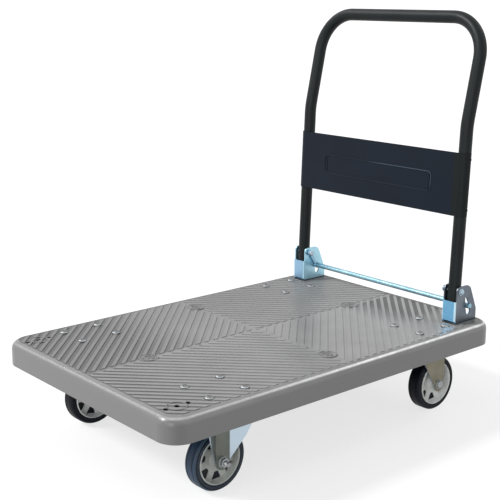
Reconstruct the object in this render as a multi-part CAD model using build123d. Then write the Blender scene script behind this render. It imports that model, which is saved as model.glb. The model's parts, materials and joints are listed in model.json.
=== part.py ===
from build123d import *
import math
import os

# A folding platform cart. Millimetres, +Z up, origin on the floor under the middle of the
# deck, +X towards the handle, Y across the cart.

# wheels and axles
wheel_diameter = 125.0
tyre_width = 32.0
tyre_depth = 12.0
tyre_taper = 3.0
rim_ring = 5.0
rim_web = 9.0
rim_windows = 7
window_inner_radius = 26.0
window_outer_radius = 41.0
spoke_width = 12.0
hub_diameter = 32.0
hub_width = 38.0
sleeve_diameter = 14.0
axle_diameter = 10.0

# caster forks
caster_height = 160.0
caster_inset_x = 164.0
caster_inset_y = 84.0
plate_length = 116.0
plate_width = 104.0
plate_thickness = 3.2
plate_corner = 8.0
bolt_pitch_x = 86.0
bolt_pitch_y = 74.0
fork_sheet = 3.0
fork_inside = 42.0
leg_half_width = 17.0
wing_angle = 37.0
wing_reach = 25.0
wing_rise = 49.0
wing_tip_reach = 38.0
wing_drop = 10.0
wing_root = 12.0
wing_bend = 2.5
swivel_trail = 48.0
swivel_bend_x = 20.0
nose_reach = 32.0
nose_half_width = 15.0
nose_radius = 12.0
front_edge_lean = 27.3
crown_radius = 44.0
crown_lip = 5.5
leg_shoulder = 17.0
race_height = 8.5
race_inner = 22.0
race_outer = 34.0
kingpin_diameter = 12.0
kingpin_head = 22.0
kingpin_head_height = 5.0

# fasteners
bolt_across_flats = 17.0
bolt_head_height = 6.4
nut_height = 8.0
pivot_nut_height = 5.0

# deck
deck_length = 920.0
deck_width = 600.0
deck_height = 51.5
corner_radius = 45.0
top_edge_radius = 18.0
skirt_wall = 5.0
deck_plate = 7.0
rim_width = 15.0
caster_recess = 5.0
web_thickness = 4.0
web_cell = 90.0
boss_width = 24.0
tread_height = 1.2
tread_pitch = 16.9
tread_width = 8.5
tread_margin = 4.0
lane_width = 11.0
spare_hole = 10.0
spare_hole_pitch = 25.0
spare_hole_inset = 53.0

# handle
leg_inset = 55.0
tube_diameter = 28.6
tube_wall = 1.6
pivot_inset = 82.6
pivot_height = 73.6
lower_lean = 2.16
upper_lean = 12.24
elbow_height = 372.0
handle_height = 601.0
elbow_radius = 160.0
corner_bend = 89.0
leg_below_pivot = 32.0
pivot_diameter = 10.0

# handle panel
panel_sheet = 2.0
panel_bottom = 171.0
panel_height = 141.0
panel_wrap = 100.0
frame_length = 327.0
frame_height = 49.0
frame_radius = 12.0
frame_line = 3.5
frame_rise = 0.8

# handle brackets
bracket_sheet = 3.0
bracket_width = 38.0
bracket_depth = 76.0
front_plate_height = 52.4
front_plate_relief = 6.5
cheek_height = 86.0
cheek_top_depth = 50.0
cheek_rear_height = 26.6
bracket_bend = 5.0
front_corner_radius = 10.0
rear_corner_radius = 18.0
slot_top_x = 19.2
slot_top_drop = 17.9
slot_length = 34.0
slot_lean = 16.0
slot_width = 13.2
slot_tip = 6.0

# release bar and springs
bar_diameter = 12.0
bar_rest = 18.4
bar_projection = 9.0
bar_chamfer = 1.5
spring_diameter = 7.0
spring_wire = 1.6
spring_offset = 4.0
hook_width = 2.4
hook_neck = 3.2

# clearances
running_gap = 0.05
seat_gap = 0.3
handle_gap = 0.5

# places that follow from the sizes above
caster_x = deck_length / 2 - caster_inset_x
caster_y = deck_width / 2 - caster_inset_y
spare_hole_x = deck_length / 2 - spare_hole_inset
pivot_x = deck_length / 2 - pivot_inset
leg_y = deck_width / 2 - leg_inset
axle_z = wheel_diameter / 2
skirt_z = caster_height - caster_recess
deck_z = skirt_z + deck_height
floor_z = deck_z - tread_height
plate_z = caster_height - plate_thickness
crown_z = plate_z - race_height - seat_gap
pivot_z = deck_z + pivot_height
fork_outside = fork_inside + 2 * fork_sheet
rim_diameter = wheel_diameter - 2 * tyre_depth
tube_radius = tube_diameter / 2
lean = math.radians(lower_lean)
bracket_inner_x = pivot_x - leg_below_pivot * math.sin(lean) - tube_radius - handle_gap
bracket_front_x = bracket_inner_x - bracket_sheet
bracket_bolt_xs = [spare_hole_x - spare_hole_pitch, spare_hole_x]
slot_angle = math.radians(slot_lean)


def along_y(shape):
    """Turn a shape that was built along +Z to lie along +Y."""
    return Rot(-90, 0, 0) * shape


def tube(outer, inner, length):
    """A straight round sleeve along +Z, starting at the origin."""
    return extrude(Circle(outer / 2) - Circle(inner / 2), length)


def hexagon(across_flats):
    return RegularPolygon(across_flats / 2, 6, major_radius=False)


def octagon(inner_radius):
    return RegularPolygon(inner_radius, 8, major_radius=False)


def hex_block(height):
    """A bolt head or a nut that stands on z = 0."""
    return extrude(hexagon(bolt_across_flats), height)


def hex_bolt(diameter, length):
    """A bolt whose head stands on z = 0 and whose shank hangs below it."""
    return hex_block(bolt_head_height) + Pos(0, 0, -length) * extrude(Circle(diameter / 2), length)


def side_plate(outline, width):
    """Extrude an outline drawn in X and Z symmetrically along Y."""
    return extrude(Plane.XZ * outline, width / 2, both=True)


def outline(*points):
    return make_face(Polyline(*points, close=True))


def corner_places(x, y):
    return [(sx * x, sy * y) for sx in (-1, 1) for sy in (-1, 1)]


def caster_bolt_places():
    return [
        (cx + bx, cy + by)
        for cx, cy in corner_places(caster_x, caster_y)
        for bx, by in corner_places(bolt_pitch_x / 2, bolt_pitch_y / 2)
    ]


def bracket_bolt_places():
    return [(x, side * leg_y) for x in bracket_bolt_xs for side in (-1, 1)]


def spare_hole_places():
    """The free bolt lines for a second handle at the end opposite the brackets."""
    xs = [-spare_hole_x + n * spare_hole_pitch for n in (-1, 0, 1)]
    return [(x, side * leg_y) for x in xs for side in (-1, 1)]


# ---- deck ----


def bracket_pad(margin):
    centre = bracket_front_x + bracket_depth / 2
    pad = Rectangle(bracket_depth + 2 * margin, bracket_width + 2 * margin)
    return [Pos(centre, side * leg_y) * pad for side in (-1, 1)]


def tread_quadrant(end):
    """The area of one quadrant, on the +Y side, that the diagonal ribs may cover."""
    half_x = deck_length / 2 - rim_width - tread_margin
    half_y = deck_width / 2 - rim_width - tread_margin
    radius = corner_radius - rim_width - tread_margin
    area = RectangleRounded(2 * half_x, 2 * half_y, radius)
    start = lane_width / 2
    area &= Pos(end * (start + half_x) / 2, (start + half_y) / 2) * Rectangle(half_x - start, half_y - start)
    return area - bracket_pad(tread_margin) if end > 0 else area


def tread_ribs():
    """Diagonal ribs in four quadrants that form diamonds around the middle of the deck."""
    step = tread_pitch * math.sqrt(2)
    half = tread_width / math.sqrt(2)
    count = int((deck_length + deck_width) / 2 / step)
    ribs = []
    for end in (-1, 1):
        area = tread_quadrant(end)
        for n in range(1, count + 1):
            near = n * step - half
            far = n * step + half
            band = outline((end * near, 0), (end * far, 0), (0, far), (0, near))
            ribs += (area & band).faces()
    return ribs + [mirror(rib, Plane.XZ) for rib in ribs]


def tread_grooves():
    """The sunk area between the raised rim, the ribs and the bracket pads."""
    field_length = deck_length - 2 * rim_width
    field_width = deck_width - 2 * rim_width
    field = RectangleRounded(field_length, field_width, corner_radius - rim_width)
    return field - (tread_ribs() + bracket_pad(0))


def web_lines(half_span, bolt_lines):
    """Places of the webs along one axis: through the caster bolts, the rest evenly between."""
    inner, outer = bolt_lines
    count = math.ceil(inner / web_cell)
    places = [n * inner / count for n in range(count)] + [inner, outer]
    rest = half_span - outer
    extra = math.ceil(rest / web_cell) - 1
    places += [outer + rest * n / (extra + 1) for n in range(1, extra + 1)]
    return sorted({sign * place for place in places for sign in (-1, 1)})


def deck_bosses():
    boss = Rectangle(boss_width, boss_width)
    bosses = [Pos(x, y) * boss for x, y in caster_bolt_places()]
    pad = Rectangle(2 * spare_hole_pitch + boss_width, boss_width)
    return bosses + [Pos(x, y) * pad for x, y in corner_places(spare_hole_x, leg_y)]


def underside_cells():
    """The hollow cells that the webs and bosses leave open under the deck."""
    half_x = deck_length / 2 - skirt_wall
    half_y = deck_width / 2 - skirt_wall
    xs = web_lines(half_x, (caster_x - bolt_pitch_x / 2, caster_x + bolt_pitch_x / 2))
    ys = web_lines(half_y, (caster_y - bolt_pitch_y / 2, caster_y + bolt_pitch_y / 2))
    webs = [Pos(x, 0) * Rectangle(web_thickness, 2 * half_y) for x in xs]
    webs += [Pos(0, y) * Rectangle(2 * half_x, web_thickness) for y in ys]
    return RectangleRounded(2 * half_x, 2 * half_y, corner_radius - skirt_wall) - (webs + deck_bosses())


def make_deck():
    plan = RectangleRounded(deck_length, deck_width, corner_radius)
    shell = Pos(0, 0, skirt_z) * extrude(plan, deck_height)
    shell = fillet(shell.faces().sort_by(Axis.Z)[-1].edges(), top_edge_radius)
    inside_length = deck_length - 2 * skirt_wall
    inside_width = deck_width - 2 * skirt_wall
    mouth = extrude(RectangleRounded(inside_length, inside_width, corner_radius - skirt_wall), caster_recess)
    cells = extrude(underside_cells(), deck_height - caster_recess - deck_plate)
    grooves = extrude(tread_grooves(), tread_height)
    hole = extrude(Circle(spare_hole / 2), deck_height)
    holes = [Pos(x, y, skirt_z) * hole for x, y in spare_hole_places()]
    shell -= [Pos(0, 0, skirt_z) * mouth, Pos(0, 0, caster_height) * cells, Pos(0, 0, floor_z) * grooves]
    return shell - holes


# ---- wheels: axle at the origin, along Y ----


def make_tyre():
    outer = wheel_diameter / 2
    inner = rim_diameter / 2 + running_gap
    half = tyre_width / 2
    tread = half - tyre_taper
    section = outline((inner, -half), (outer, -tread), (outer, tread), (inner, half))
    return along_y(revolve(Plane.XZ * section, Axis.Z))


def rim_window():
    """One opening between two spokes, pointing along +X."""
    half_angle = math.pi / rim_windows
    inner_half = window_inner_radius * math.tan(half_angle) - spoke_width / 2
    outer_half = window_outer_radius * math.tan(half_angle) - spoke_width / 2
    return outline(
        (window_inner_radius, -inner_half), (window_outer_radius, -outer_half),
        (window_outer_radius, outer_half), (window_inner_radius, inner_half),
    )


def make_rim():
    outer = rim_diameter / 2
    ring_inner = outer - rim_ring
    half = tyre_width / 2 - 1.5
    bore = sleeve_diameter / 2 + running_gap
    section = outline(
        (bore, -hub_width / 2), (hub_diameter / 2, -hub_width / 2), (hub_diameter / 2, -rim_web / 2),
        (ring_inner, -rim_web / 2), (ring_inner, -half), (outer, -half),
        (outer, half), (ring_inner, half), (ring_inner, rim_web / 2),
        (hub_diameter / 2, rim_web / 2), (hub_diameter / 2, hub_width / 2), (bore, hub_width / 2),
    )
    rim = revolve(Plane.XZ * section, Axis.Z)
    window = extrude(rim_window(), rim_web, both=True)
    rim -= [Rot(0, 0, 360 / rim_windows * n) * window for n in range(rim_windows)]
    return along_y(rim)


def make_axle_sleeve():
    sleeve = tube(sleeve_diameter, axle_diameter + 2 * running_gap, fork_inside)
    return along_y(Pos(0, 0, -fork_inside / 2) * sleeve)


def make_axle_bolt():
    """The head is on the -Y side of the wheel and the nut on the +Y side."""
    return Pos(0, -fork_outside / 2, 0) * Rot(90, 0, 0) * hex_bolt(axle_diameter, fork_outside)


def make_axle_nut():
    return Pos(0, fork_outside / 2, 0) * along_y(hex_block(nut_height))


def leg_outline(points):
    """A fork leg seen from the side: a round end on the axle below a polygon."""
    return Circle(leg_half_width) + outline((-leg_half_width, 0), (leg_half_width, 0), *points)


def caster_plate():
    return extrude(RectangleRounded(plate_length, plate_width, plate_corner), plate_thickness)


def axle_bore():
    bore = extrude(Circle(axle_diameter / 2 + running_gap), fork_outside)
    return along_y(Pos(0, 0, -fork_outside / 2) * bore)


def winged_leg_section():
    """A leg of the rigid fork in plan: a flat sheet with both edges bent outwards."""
    angle = math.radians(wing_angle)
    sheet = fork_sheet
    outer = fork_outside / 2
    run = (wing_tip_reach, wing_tip_reach * math.tan(angle))
    across = (sheet * math.sin(angle), -sheet * math.cos(angle))
    mitre = leg_half_width + sheet * math.tan(angle / 2)
    tip = (leg_half_width + run[0], outer + run[1])
    back = (tip[0] + across[0], tip[1] + across[1])
    right = [(leg_half_width, outer), tip, back, (mitre, outer - sheet)]
    left = [(-x, y) for x, y in reversed(right)]
    section = outline(*right, *left)
    bends = section.vertices().filter_by_position(Axis.X, -mitre - sheet / 2, mitre + sheet / 2)
    return fillet(bends, wing_bend)


def make_rigid_fork():
    """Plate and two winged legs, with the axle at the origin."""
    top = plate_z - axle_z
    half = leg_half_width
    right = [(half + wing_reach, wing_rise), (half + wing_tip_reach, top - wing_drop)]
    right += [(half + wing_root, top - wing_drop), (half + wing_root, top + plate_thickness / 2)]
    left = [(-x, z) for x, z in reversed(right)]
    silhouette = side_plate(leg_outline(right + left), 2 * plate_width)
    leg = Pos(0, 0, -half) * extrude(winged_leg_section(), half + top + plate_thickness / 2)
    legs = (leg + mirror(leg, Plane.XZ)) & silhouette
    return Pos(0, 0, top) * caster_plate() + legs - axle_bore()


def crown_outline():
    """The swivel fork in plan: straight legs that close in a rounded nose ahead of the kingpin."""
    half = fork_outside / 2
    nose_x = -swivel_trail - nose_reach
    right = [(leg_half_width, half), (-swivel_bend_x, half), (nose_x, nose_half_width)]
    plan = outline(*right, *[(x, -y) for x, y in reversed(right)])
    return fillet(plan.vertices().sort_by(Axis.X)[:2], nose_radius)


def crown_hollow():
    """What the sheet of the swivel fork encloses, open to the rear."""
    length = leg_half_width + swivel_bend_x
    rear = Pos(leg_half_width - length / 2 + fork_sheet, 0) * Rectangle(length, fork_inside)
    return offset(crown_outline(), -fork_sheet) + rear


def make_swivel_fork():
    """One pressed sheet: a crown on the kingpin and two legs that trail to the axle."""
    top = crown_z - axle_z
    half = leg_half_width
    under = top - fork_sheet
    lip = top - crown_lip
    nose_x = -swivel_trail - nose_reach
    rear_x = -swivel_trail + crown_radius
    slope = math.tan(math.radians(front_edge_lean))
    silhouette = leg_outline([
        (half, lip - leg_shoulder), (rear_x, lip), (rear_x, top),
        (nose_x, top), (nose_x, lip), (-half - slope * lip, lip),
    ])
    sheet = Pos(0, 0, -half) * extrude(crown_outline() - crown_hollow(), half + top)
    crown = crown_outline() & (Pos(-swivel_trail, 0) * Circle(crown_radius))
    body = Pos(0, 0, under) * extrude(crown, fork_sheet)
    body += sheet & side_plate(silhouette, fork_outside)
    bore = Pos(-swivel_trail, 0, 0) * extrude(Circle(kingpin_diameter / 2 + running_gap), top)
    return body - [axle_bore(), bore]


# ---- swivel heads: kingpin axis at the origin, heights from the floor ----


def make_swivel_plate():
    bore = extrude(Circle(kingpin_diameter / 2 + running_gap), plate_thickness)
    return Pos(0, 0, plate_z) * (caster_plate() - bore)


def make_swivel_race():
    return Pos(0, 0, plate_z - race_height) * tube(2 * race_outer, 2 * race_inner, race_height)


def make_kingpin():
    """A riveted pin with a head above the plate and a head under the crown."""
    under = crown_z - fork_sheet - seat_gap
    pin = Pos(0, 0, under) * extrude(Circle(kingpin_diameter / 2), caster_height - under)
    head = extrude(Circle(kingpin_head / 2), kingpin_head_height)
    return Pos(0, 0, caster_height) * head + pin + Pos(0, 0, under - kingpin_head_height) * head


# ---- handle: built around the pivot line, which is the Y axis here ----


def lean_frame(height):
    """A plane square to the lower legs, at a height along them above the pivot."""
    direction = Vector(math.sin(lean), 0, math.cos(lean))
    return Plane(origin=direction * height, x_dir=(math.cos(lean), 0, -math.sin(lean)), z_dir=direction)


def handle_path():
    foot = (-leg_below_pivot * math.sin(lean), -leg_below_pivot * math.cos(lean))
    elbow = (elbow_height * math.tan(lean), elbow_height)
    top_x = elbow[0] + (handle_height - elbow_height) * math.tan(math.radians(upper_lean))
    left = [(x, leg_y, z) for x, z in (foot, elbow, (top_x, handle_height))]
    right = [(x, -y, z) for x, y, z in reversed(left)]
    return FilletPolyline(*left, *right, radius=[elbow_radius, corner_bend, corner_bend, elbow_radius])


def make_handle_tube():
    path = handle_path()
    section = Circle(tube_radius) - Circle(tube_radius - tube_wall)
    pipe = sweep(Plane(origin=path @ 0, z_dir=path % 0) * section, path)
    bore = along_y(Pos(0, 0, -leg_y - tube_diameter) * extrude(
        Circle(pivot_diameter / 2 + running_gap), 2 * leg_y + 2 * tube_diameter))
    return pipe - bore


def panel_section():
    """The panel in plan: a flat sheet in front of the legs that wraps round their outer sides."""
    inner = tube_radius + running_gap
    outer = inner + panel_sheet
    sheet = Pos(-(inner + outer) / 2, 0) * Rectangle(panel_sheet, 2 * leg_y)
    end = math.radians(180 - panel_wrap)
    reach = 2 * outer
    wedge = outline((0, 0), (-reach, 0), (-reach, reach), (reach * math.cos(end), reach * math.sin(end)))
    hook = Pos(0, leg_y) * ((Circle(outer) - Circle(inner)) & wedge)
    return sheet + hook + mirror(hook, Plane.XZ)


def make_handle_panel():
    base = lean_frame(panel_bottom)
    panel = base * extrude(panel_section(), panel_height)
    front = -(tube_radius + running_gap + panel_sheet)
    frame = RectangleRounded(frame_height, frame_length, frame_radius)
    inner_height = frame_height - 2 * frame_line
    inner_length = frame_length - 2 * frame_line
    frame -= RectangleRounded(inner_height, inner_length, frame_radius - frame_line)
    frame = Rot(0, -90, 0) * extrude(frame, frame_rise)
    return panel + base * Pos(front, 0, panel_height / 2) * frame


# ---- brackets: pivot line on the Y axis, deck at z = -pivot_height ----


def slot_point(travel):
    """A point on the slot's centre line, a distance down from its upper end."""
    return (slot_top_x + travel * math.sin(slot_angle), -slot_top_drop - travel * math.cos(slot_angle))


def bracket_side():
    """The folded sheet seen from the side, cheeks and all."""
    front = bracket_front_x - pivot_x
    rear = front + bracket_depth
    floor = -pivot_height
    top = floor + cheek_height
    knee = floor + cheek_rear_height
    relief = floor + front_plate_relief
    ledge = floor + front_plate_height
    cheek_front = front + bracket_bend
    cheek_back = front + cheek_top_depth
    side = outline(
        (cheek_front, floor), (cheek_front, relief), (front, relief), (front, ledge),
        (cheek_front, ledge), (cheek_front, top), (cheek_back, top), (rear, knee), (rear, floor),
    )
    side = fillet(side.vertices().sort_by(Axis.Y)[-2:].sort_by(Axis.X)[0], front_corner_radius)
    side = fillet(side.vertices().sort_by_distance((cheek_back, top))[0], rear_corner_radius)
    return fillet(side.vertices().sort_by_distance((rear, knee))[0], rear_corner_radius)


def bracket_slot():
    """The slot for the bar's travel, which narrows to a tip above the bar at rest."""
    tip = Pos(*slot_point(0)) * Circle(slot_tip / 2)
    rest = Pos(*slot_point(bar_rest)) * Circle(slot_width / 2)
    travel = slot_length - bar_rest
    slot = SlotCenterToCenter(travel, slot_width, rotation=90 + slot_lean)
    return make_hull([*tip.edges(), *rest.edges()]) + Pos(*slot_point(bar_rest + travel / 2)) * slot


def make_bracket():
    front = bracket_front_x - pivot_x
    rear = front + bracket_depth
    half = bracket_width / 2
    inside = half - bracket_sheet
    plan = Pos((front + rear) / 2, 0) * Rectangle(bracket_depth, bracket_width)
    plan = fillet(plan.vertices().sort_by(Axis.X)[:2], bracket_bend)
    pocket = Pos((front + rear + bracket_sheet) / 2, 0) * Rectangle(bracket_depth - bracket_sheet, 2 * inside)
    pocket = fillet(pocket.vertices().sort_by(Axis.X)[:2], bracket_bend - bracket_sheet)
    sheet = Pos(0, 0, -pivot_height) * extrude(plan - pocket, cheek_height)
    body = sheet & side_plate(bracket_side(), bracket_width)
    base = Pos(0, 0, -pivot_height) * extrude(plan, bracket_sheet)
    pivot = side_plate(Circle(pivot_diameter / 2 + running_gap), bracket_width)
    return body - [pivot, side_plate(bracket_slot(), bracket_width)] + base


def pivot_bolt_length():
    """Through both cheeks and past the inner one, with room for the spring's hook."""
    return bracket_width + 2 * spring_offset


def make_pivot_bolt():
    return Pos(0, bracket_width / 2, 0) * Rot(-90, 0, 0) * hex_bolt(pivot_diameter, pivot_bolt_length())


def make_pivot_nut():
    end = bracket_width / 2 - pivot_bolt_length()
    return Pos(0, end, 0) * Rot(90, 0, 0) * hex_block(pivot_nut_height)


# ---- release bar ----


def make_release_bar():
    length = 2 * leg_y + bracket_width + 2 * bar_projection
    bar = Pos(0, 0, -length / 2) * extrude(Circle(bar_diameter / 2), length)
    return along_y(chamfer(bar.edges().filter_by(GeomType.CIRCLE), bar_chamfer))


def spring_hook(diameter):
    """An eight-sided flat eye round a pin of this diameter, with a neck towards the coil."""
    inner = diameter / 2 + seat_gap
    outer = inner + spring_wire
    eye = octagon(outer) + Pos(0, outer / 2) * Rectangle(hook_neck, outer) - octagon(inner)
    return extrude(Plane.XZ * eye, hook_width / 2, both=True)


def make_spring():
    """A closed extension spring between the pivot bolt and the bar, with an eye at each end."""
    end = slot_point(bar_rest)
    length = math.hypot(*end)
    upper = pivot_diameter / 2 + seat_gap + spring_wire
    lower = bar_diameter / 2 + seat_gap + spring_wire
    coil = Pos(0, 0, upper) * extrude(Circle(spring_diameter / 2), length - upper - lower)
    foot = Pos(0, 0, length) * Rot(180, 0, 0) * spring_hook(bar_diameter)
    spring = coil + spring_hook(pivot_diameter) + foot
    return Rot(0, math.degrees(math.atan2(end[0], end[1])), 0) * spring


# ---- assembly ----


def pivot_side(side):
    """A frame on the pivot line at one leg, mirrored for the other so that +Y is outwards."""
    return Pos(pivot_x, side * leg_y, pivot_z)


def handed(shape, side):
    """A shape drawn for the left side, where +Y is outwards, or its mirror for the right."""
    return shape if side > 0 else mirror(shape, Plane.XZ)


def save(name, *shapes):
    shape = shapes[0] if len(shapes) == 1 else Compound(children=[Compound(list(s.solids())) for s in shapes])
    export_step(shape, f"parts/{name}.step")


def save_deck():
    save("deck", make_deck())
    head = hex_block(bolt_head_height)
    nut = hex_block(nut_height)
    save("caster_bolts", *[Pos(x, y, deck_z) * head for x, y in caster_bolt_places()])
    save("caster_nuts", *[Pos(x, y, plate_z - nut_height) * nut for x, y in caster_bolt_places()])
    save("bracket_bolts", *[Pos(x, y, deck_z + bracket_sheet) * head for x, y in bracket_bolt_places()])
    save("bracket_nuts", *[Pos(x, y, caster_height - nut_height) * nut for x, y in bracket_bolt_places()])


def save_wheels():
    tyre = make_tyre()
    rim = make_rim()
    for end, x in (("front", -caster_x), ("rear", caster_x + swivel_trail)):
        for hand, side in (("left", 1), ("right", -1)):
            place = Pos(x, side * caster_y, axle_z)
            save(f"tyre_{end}_{hand}", place * tyre)
            save(f"rim_{end}_{hand}", place * rim)


def save_casters():
    sleeve = make_axle_sleeve()
    bolt = make_axle_bolt()
    nut = make_axle_nut()
    front = [(side, Pos(-caster_x, side * caster_y, axle_z)) for side in (1, -1)]
    save("front_axle_bolts", *[place * handed(bolt, side) for side, place in front])
    save("front_axle_nuts", *[place * handed(nut, side) for side, place in front])
    save("front_axle_sleeves", *[place * sleeve for side, place in front])
    rigid = make_rigid_fork()
    swivel = make_swivel_fork()
    plate = make_swivel_plate()
    heads = [Pos(caster_x, side * caster_y, 0) for side in (1, -1)]
    save("swivel_races", *[place * make_swivel_race() for place in heads])
    save("kingpins", *[place * make_kingpin() for place in heads])
    for hand, side in (("left", 1), ("right", -1)):
        save(f"rigid_fork_{hand}", Pos(-caster_x, side * caster_y, axle_z) * rigid)
        save(f"swivel_plate_{hand}", Pos(caster_x, side * caster_y, 0) * plate)
        rear = Pos(caster_x + swivel_trail, side * caster_y, axle_z)
        save(f"swivel_fork_{hand}", rear * swivel)
        save(f"rear_axle_bolt_{hand}", rear * handed(bolt, -side))
        save(f"rear_axle_nut_{hand}", rear * handed(nut, -side))
        save(f"rear_axle_sleeve_{hand}", rear * sleeve)


def save_handle():
    pivot_line = Pos(pivot_x, 0, pivot_z)
    save("handle_tube", pivot_line * make_handle_tube())
    save("handle_panel", pivot_line * make_handle_panel())
    bracket = make_bracket()
    sides = [(side, pivot_side(side)) for side in (1, -1)]
    for hand, (side, place) in zip(("left", "right"), sides):
        save(f"handle_bracket_{hand}", place * bracket)
    save("pivot_bolts", *[place * handed(make_pivot_bolt(), side) for side, place in sides])
    save("pivot_nuts", *[place * handed(make_pivot_nut(), side) for side, place in sides])


def save_release():
    x, z = slot_point(bar_rest)
    save("release_bar", Pos(pivot_x + x, 0, pivot_z + z) * make_release_bar())
    inner_face = leg_y - bracket_width / 2
    spring = Pos(0, inner_face - spring_offset, 0) * make_spring()
    save("release_springs", *[Pos(pivot_x, 0, pivot_z) * handed(spring, side) for side in (1, -1)])


os.makedirs("parts", exist_ok=True)
save_deck()
save_wheels()
save_casters()
save_handle()
save_release()
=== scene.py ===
import json
import math
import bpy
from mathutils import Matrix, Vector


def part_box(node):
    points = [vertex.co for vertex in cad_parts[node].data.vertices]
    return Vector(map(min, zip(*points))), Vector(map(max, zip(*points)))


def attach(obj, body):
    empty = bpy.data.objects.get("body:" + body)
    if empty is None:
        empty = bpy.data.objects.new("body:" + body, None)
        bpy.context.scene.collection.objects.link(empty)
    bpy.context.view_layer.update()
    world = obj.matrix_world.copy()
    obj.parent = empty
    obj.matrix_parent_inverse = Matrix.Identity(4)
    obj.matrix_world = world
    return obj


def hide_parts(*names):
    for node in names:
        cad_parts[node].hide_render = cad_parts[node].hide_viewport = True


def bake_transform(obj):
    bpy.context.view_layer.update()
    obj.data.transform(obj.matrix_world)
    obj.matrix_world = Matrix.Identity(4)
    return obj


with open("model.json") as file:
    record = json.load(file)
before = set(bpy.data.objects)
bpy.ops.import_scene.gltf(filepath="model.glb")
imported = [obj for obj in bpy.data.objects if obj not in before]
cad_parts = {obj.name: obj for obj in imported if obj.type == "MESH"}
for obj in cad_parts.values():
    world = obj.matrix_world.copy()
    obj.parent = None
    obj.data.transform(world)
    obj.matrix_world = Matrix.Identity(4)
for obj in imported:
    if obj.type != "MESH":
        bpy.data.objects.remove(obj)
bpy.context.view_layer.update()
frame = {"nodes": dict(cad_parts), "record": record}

from types import SimpleNamespace

import bmesh
import bpy
from mathutils import Matrix, Vector

# The looks of a folding platform cart. +X points at the handle, +Y to the left of someone who faces it,
# and the origin lies on the floor under the middle of the deck. Blender works in metres; the values
# below are in millimetres and are turned into metres by MM where they are used.
MM = 0.001

# ---- driving dimensions, worked out from the CAD nodes where these have them ----


def box_mm(node):
    """The lowest and the highest corner of a CAD node's box, in millimetres."""
    low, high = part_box(node)
    return low / MM, high / MM


deck_high = box_mm("deck")[1]
deck_top = deck_high.z              # the deck's rim and the tops of the tread ribs
edge_foot = deck_top - 16.5         # the rounded edge of the deck begins at this height
tread_floor = deck_top - 1.2        # the sunk floor between the ribs
tread_step = 23.9                   # from rib to rib, along X or along Y
tread_end = deck_high.x - 20.0      # the ribs stop here towards -X and +X
tread_side = deck_high.y - 20.0     # and here towards +Y
half_lane = 5.0                     # half the plain lanes between the four quadrants of the tread

bracket_low, bracket_high = box_mm("handle_bracket_left")
leg_line = (bracket_low.y + bracket_high.y) / 2     # legs, brackets and spare holes, from the middle
plate_top = deck_top + 52.4         # the upper edge of the brackets' front plates
foot_top = deck_top + 3.1           # the upper side of the brackets' feet
spare_holes = -(deck_high.x - 53.0)  # the middle one of the three spare holes on each side

handle_lean = 2.16                  # degrees, the legs' lean at the panel
panel_foot = 171.0                  # from the handle's pivot up the legs to the panel
panel_height = 141.0                # of the sheet, along the legs
panel_wrap = 16.3                   # from a leg's middle to the outer face of the sheet round it

tyre_low, tyre_high = box_mm("tyre_front_left")
rim_low, rim_high = box_mm("rim_front_left")
tyre_radius = (tyre_high.z - tyre_low.z) / 2
tyre_half_width = (tyre_high.y - tyre_low.y) / 2 - 0.1
hub_half_width = (rim_high.y - rim_low.y) / 2 - 0.2
rim_ring = hub_half_width - 1.4     # how far the rim stands out from the wheel's middle
rim_web = 8.6                       # thickness of the spokes
tyre_bore = tyre_radius - 13.3      # inner radius of the rubber

bolt_thread = 4.9                   # radius of the axle and pivot bolts
head_height = 6.4                   # how far the CAD heads of axle and pivot bolts stand out

# ---- shader nodes ----


def put(socket, value):
    """Give an input of a node a fixed value, or a link from another node."""
    if isinstance(value, bpy.types.NodeSocket):
        socket.id_data.links.new(value, socket)
    else:
        socket.default_value = value


def math_node(operation, *values):
    """A maths node whose inputs are values or links, at least the first one a link."""
    node = values[0].id_data.nodes.new("ShaderNodeMath")
    node.operation = operation
    for socket, value in zip(node.inputs, values):
        put(socket, value)
    return node.outputs[0]


def product(*masks):
    """1 only where every mask is 1."""
    result = masks[0]
    for mask in masks[1:]:
        result = math_node("MULTIPLY", result, mask)
    return result


def ramp(value, start, end, low=0.0, high=1.0):
    """Low before the start, high past the end, and a straight line between them."""
    node = value.id_data.nodes.new("ShaderNodeMapRange")
    node.inputs["From Min"].default_value = start
    node.inputs["From Max"].default_value = end
    node.inputs["To Min"].default_value = low
    node.inputs["To Max"].default_value = high
    put(node.inputs["Value"], value)
    return node.outputs["Result"]


def band(value, start, full, last, end):
    """1 from full to last, falling to 0 at the start and at the end."""
    return product(ramp(value, start, full), ramp(value, last, end, 1, 0))


def mix(mask, base, target):
    """The base colour, replaced by the target colour where the mask is 1."""
    node = mask.id_data.nodes.new("ShaderNodeMix")
    node.data_type = "RGBA"
    factor, base_input, target_input = node.inputs[0], node.inputs[6], node.inputs[7]
    put(factor, mask)
    put(base_input, base)
    put(target_input, target)
    return node.outputs[2]


def noise(coordinate, scale, detail):
    """A cloudy pattern of values round 0.5."""
    texture = coordinate.id_data.nodes.new("ShaderNodeTexNoise")
    texture.inputs["Scale"].default_value = scale
    texture.inputs["Detail"].default_value = detail
    put(texture.inputs["Vector"], coordinate)
    return texture.outputs["Fac"]


def components(vector):
    """The three parts of a vector."""
    node = vector.id_data.nodes.new("ShaderNodeSeparateXYZ")
    put(node.inputs[0], vector)
    return tuple(node.outputs)


def spot_on(tree):
    """Where a point of the surface lies, in millimetres, and which way its face looks."""
    coordinates = tree.nodes.new("ShaderNodeTexCoord")
    place = coordinates.outputs["Object"]
    x, y, z = (math_node("MULTIPLY", part, 1 / MM) for part in components(place))
    facing_x, facing_y, facing_z = components(coordinates.outputs["Normal"])
    return SimpleNamespace(place=place, x=x, y=y, z=z,
                           facing_x=facing_x, facing_y=facing_y, facing_z=facing_z)


def size_of(value):
    """The value without its sign."""
    return math_node("ABSOLUTE", value)


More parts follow.
